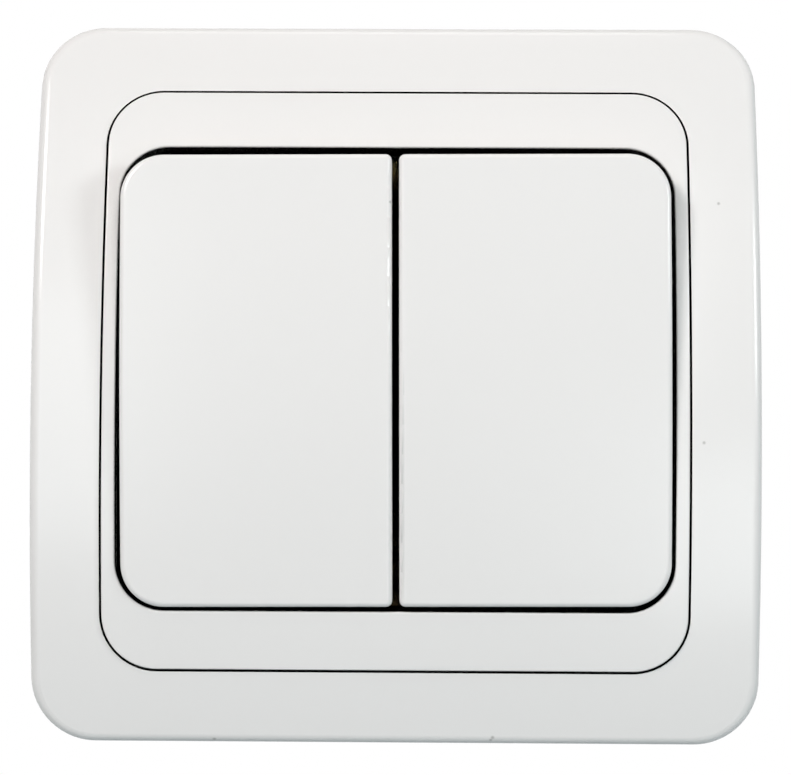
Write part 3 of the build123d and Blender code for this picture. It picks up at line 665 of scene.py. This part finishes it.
class SWITCH_OT_keys(Operator):
    """Finish the two rocker keys, a little smeared where they are pressed"""

    bl_idname = "switch.keys"
    bl_label = "Rocker keys"

    def execute(self, context):
        nick = ((-0.0007, -0.0120, 0.0193), 0.00024)
        look = context.scene.switch_finishes
        # Painted shade: the walls of a key that stay under the rim of its opening turn black
        inward = (0.0, math.cos(look.key_tilt), math.sin(look.key_tilt))
        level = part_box("insert")[0].y + look.rim_shade_margin
        dark = partial(Finish.under_rim, inward=inward, level=level, slope=look.rim_slope)
        for side, seed, marks in (("left", 2.9, (nick,)), ("right", 8.3, ())):
            low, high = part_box("rocker_" + side)
            touch = ((low.x + high.x) / 2, low.y, low.z * 0.6)
            dress(cover_white("white_key_" + side, seed, marks, touch, dark), "rocker_" + side)
        return {"FINISHED"}


class SWITCH_OT_mounting_plate(Operator):
    """Finish the stamped mounting plate"""

    bl_idname = "switch.mounting_plate"
    bl_label = "Mounting plate"

    def execute(self, context):
        dress(plated_steel("zinc_plate", context.scene.switch_finishes.zinc, 1.0), "mounting_plate")
        return {"FINISHED"}


class SWITCH_OT_base(Operator):
    """Finish the moulded switch base"""

    bl_idname = "switch.base"
    bl_label = "Switch base"

    def execute(self, context):
        dress(moulded_dark("black_base", context.scene.switch_finishes.base_black, 2.0), "switch_base")
        return {"FINISHED"}


class SWITCH_OT_works(Operator):
    """Finish the tumblers, plungers, springs and their axle"""

    bl_idname = "switch.works"
    bl_label = "Tumblers and springs"

    def execute(self, context):
        look = context.scene.switch_finishes
        dress(moulded_dark("grey_tumbler", look.tumbler_grey, 6.0), "tumbler_left", "tumbler_right")
        dress(natural_polymer("cream_plunger", look.plunger_cream), "plunger_left", "plunger_right")
        dress(drawn_metal("bright_axle", look.bright_steel, 4.0, 0.2, 0.2), "axle")
        dress(drawn_metal("spring_wire", look.bright_steel, 9.0, 0.24, 0.3), "spring_left", "spring_right")
        return {"FINISHED"}


class SWITCH_OT_contacts(Operator):
    """Finish the see-saw contacts and the silver tips"""

    bl_idname = "switch.contacts"
    bl_label = "Contacts"

    def execute(self, context):
        look = context.scene.switch_finishes
        dress(drawn_metal("brass_arm", look.brass, 3.0, 0.24, 0.5), "contact_arm_left", "contact_arm_right")
        silver = drawn_metal("silver_tip", look.silver, 5.0, 0.3, 0.6)
        dress(silver, "moving_tip_left", "moving_tip_right", "fixed_tips")
        return {"FINISHED"}


class SWITCH_OT_terminals(Operator):
    """Finish the brass terminals"""

    bl_idname = "switch.terminals"
    bl_label = "Terminals"

    def execute(self, context):
        brass = drawn_metal("brass_terminal", context.scene.switch_finishes.brass, 8.0, 0.26, 0.6)
        dress(brass, "common_terminal", "terminal_left", "terminal_right")
        return {"FINISHED"}


class SWITCH_OT_claws(Operator):
    """Finish the box claws"""

    bl_idname = "switch.claws"
    bl_label = "Box claws"

    def execute(self, context):
        zinc = plated_steel("zinc_claw", context.scene.switch_finishes.zinc, 7.0, hollow=False)
        dress(zinc, "claw_left", "claw_right")
        return {"FINISHED"}


class SWITCH_OT_screws(Operator):
    """Cut real threads and slots for every screw"""

    bl_idname = "switch.screws"
    bl_label = "Screws"

    def execute(self, context):
        look, screws = context.scene.switch_finishes, context.scene.switch_screws
        group = screw_tree()
        tints = ((0.5, 0.56, 0.28), (0.7, 0.42, 0.3))
        yellow = plated_steel("yellow_screw", look.yellow_zinc, 3.0, tints)
        zinc = plated_steel("zinc_screw", look.zinc, 12.0)
        room = (0.0, -1.0, 0.0)
        seat = -screws.seat

        low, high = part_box("claw_screws")
        head = (high.z - low.z) / 2
        middle = (high.z + low.z) / 2
        sizes = screw_sizes(head, seat - low.y, 0.0, screws.shank, high.y - seat)
        seats = [((x, seat, middle), room) for x in (low.x + head, high.x - head)]
        set_screws("claw_screws", group, seats, sizes, yellow)

        low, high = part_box("insert_screws")
        head = (high.x - low.x) / 2
        sizes = screw_sizes(head, 0.0, head - screws.shank, screws.shank, high.y - low.y)
        seats = [((0.0, low.y, z), room) for z in (low.z + head, high.z - head)]
        set_screws("insert_screws", group, seats, sizes, yellow)

        low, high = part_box("base_screws")
        head = screws.base_head
        sizes = screw_sizes(head, seat - low.y, 0.0, screws.base_shank, high.y - seat)
        seats = [((x, seat, high.z - head), room) for x in (low.x + head, high.x - head)]
        seats.append(((0.0, seat, low.z + head), room))
        set_screws("base_screws", group, seats, sizes, yellow)

        low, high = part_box("terminal_screws")
        head, cap = screws.terminal_head, screws.terminal_cap
        middle = (low.y + high.y) / 2
        sizes = screw_sizes(head, cap, 0.0, screws.terminal_shank, screws.terminal_reach)
        seats = [((0.0, middle, high.z - cap), (0.0, 0.0, 1.0))]
        seats += [((x, middle, low.z + cap), (0.0, 0.0, -1.0)) for x in (low.x + head, high.x - head)]
        set_screws("terminal_screws", group, seats, sizes, zinc)
        return {"FINISHED"}


def soft_box(name, bearing, rise, distance, width, height, watts, tint):
    """An area lamp that faces the switch from a bearing off its front and a rise above it, in degrees."""
    bearing, rise = math.radians(bearing), math.radians(rise)
    away = Vector((math.sin(bearing) * math.cos(rise), -math.cos(bearing) * math.cos(rise), math.sin(rise)))
    data = bpy.data.lights.new(name, "AREA")
    data.shape = "RECTANGLE"
    data.size, data.size_y = width, height
    data.energy = watts
    data.color = tint
    lamp = bpy.data.objects.new(name, data)
    lamp.location = away * distance
    lamp.rotation_euler = away.to_track_quat("Z", "Y").to_euler()
    lamp.visible_camera = False
    bpy.context.scene.collection.objects.link(lamp)


class SWITCH_OT_stage(Operator):
    """Set up the floor, the lamps, the white surround and the camera"""

    bl_idname = "switch.stage"
    bl_label = "Stage"

    def execute(self, context):
        scene, stage = context.scene, context.scene.switch_stage
        scene.view_settings.view_transform = "Standard"

        # Pale floor, well below the switch
        half, level = stage.floor_size / 2, cad_box[0][2] - stage.floor_drop
        corners = [(x, y, level) for x, y in ((-half, -half), (half, -half), (half, half), (-half, half))]
        mesh = bpy.data.meshes.new("floor")
        mesh.from_pydata(corners, [], [(0, 1, 2, 3)])
        floor = bpy.data.objects.new("floor", mesh)
        scene.collection.objects.link(floor)
        finish = Finish("pale_floor", {"Emission Strength": 1.0})
        cloud, seen, pale = finish.noise(4.0, 1.0, 3.0), finish.seen(), stage.floor_colour
        tone = finish.mix(cloud, scaled(pale, 0.98), scaled(pale, 1.02))
        finish.feed("Base Color", finish.mix(seen, stage.floor_bounce, tone))
        finish.feed("Emission Color", finish.mix(seen, (0.0, 0.0, 0.0), stage.floor_glow))
        finish.feed("Roughness", 0.6 + 0.1 * cloud)
        mesh.materials.append(finish.done())

        # White surround for the eye and for reflections, soft light from behind elsewhere
        world = bpy.data.worlds.new("surround")
        world.use_nodes = True
        scene.world = world
        world.node_tree.nodes.clear()
        tree = Tree(world.node_tree)
        direction = tree.node("ShaderNodeTexCoord", output="Generated")
        spread = tree.node("ShaderNodeSeparateXYZ", None, {0: direction})
        level = tree.ramp(spread.out("Y"), SOFT_BEGINS, SOFT_FULL, stage.front_level, stage.back_level)
        pale = {"Color": (*stage.cool_tint, 1.0), "Strength": level}
        soft = tree.node("ShaderNodeBackground", None, pale)
        white = tree.node("ShaderNodeBackground", None, {"Color": (1.0, 1.0, 1.0, 1.0), "Strength": 1.0})
        both = tree.node("ShaderNodeMixShader", None, {0: tree.seen(), 1: soft, 2: white})
        tree.node("ShaderNodeOutputWorld", None, {"Surface": both})

        for name, (*place, tint) in LAMPS.items():
            watts, tone = getattr(stage, name + "_power"), getattr(stage, tint + "_tint")
            soft_box(name + "_soft_box", *place, watts, tone)

        data = bpy.data.cameras.new("camera")
        data.sensor_width = 36.0
        data.lens = stage.focal_length
        data.clip_start, data.clip_end = 0.01, 50.0
        camera = bpy.data.objects.new("camera", data)
        pitch, roll, yaw = stage.camera_turn
        camera.matrix_world = (
            Matrix.Translation(stage.camera_place)
            @ Matrix.Rotation(yaw, 4, "Z")
            @ Matrix.Rotation(pitch + math.pi / 2, 4, "X")
            @ Matrix.Rotation(-roll, 4, "Z")
        )
        scene.collection.objects.link(camera)
        scene.camera = camera
        return {"FINISHED"}


OPERATORS = (
    SWITCH_OT_cover_frame,
    SWITCH_OT_insert,
    SWITCH_OT_keys,
    SWITCH_OT_mounting_plate,
    SWITCH_OT_base,
    SWITCH_OT_works,
    SWITCH_OT_contacts,
    SWITCH_OT_terminals,
    SWITCH_OT_claws,
    SWITCH_OT_screws,
    SWITCH_OT_stage,
)
GROUPS = {"switch_finishes": SwitchFinishes, "switch_screws": SwitchScrews, "switch_stage": SwitchStage}


class SWITCH_PT_panel(Panel):
    """Sizes, finishes and building steps of the switch"""

    bl_label = "Two-gang rocker switch"
    bl_space_type = "VIEW_3D"
    bl_region_type = "UI"
    bl_category = "Switch"

    def draw(self, context):
        for group in GROUPS:
            column = self.layout.box().column()
            settings = getattr(context.scene, group)
            for key in settings.__annotations__:
                column.prop(settings, key)
        for operator in OPERATORS:
            self.layout.operator(operator.bl_idname)


CLASSES = (*GROUPS.values(), *OPERATORS, SWITCH_PT_panel)


def register():
    for cls in CLASSES:
        bpy.utils.register_class(cls)
    for name, group in GROUPS.items():
        setattr(bpy.types.Scene, name, PointerProperty(type=group))


def unregister():
    for name in GROUPS:
        delattr(bpy.types.Scene, name)
    for cls in reversed(CLASSES):
        bpy.utils.unregister_class(cls)


def main():
    register()
    for operator in OPERATORS:
        family, step = operator.bl_idname.split(".")
        getattr(getattr(bpy.ops, family), step)()


if __name__ == "__main__":
    main()
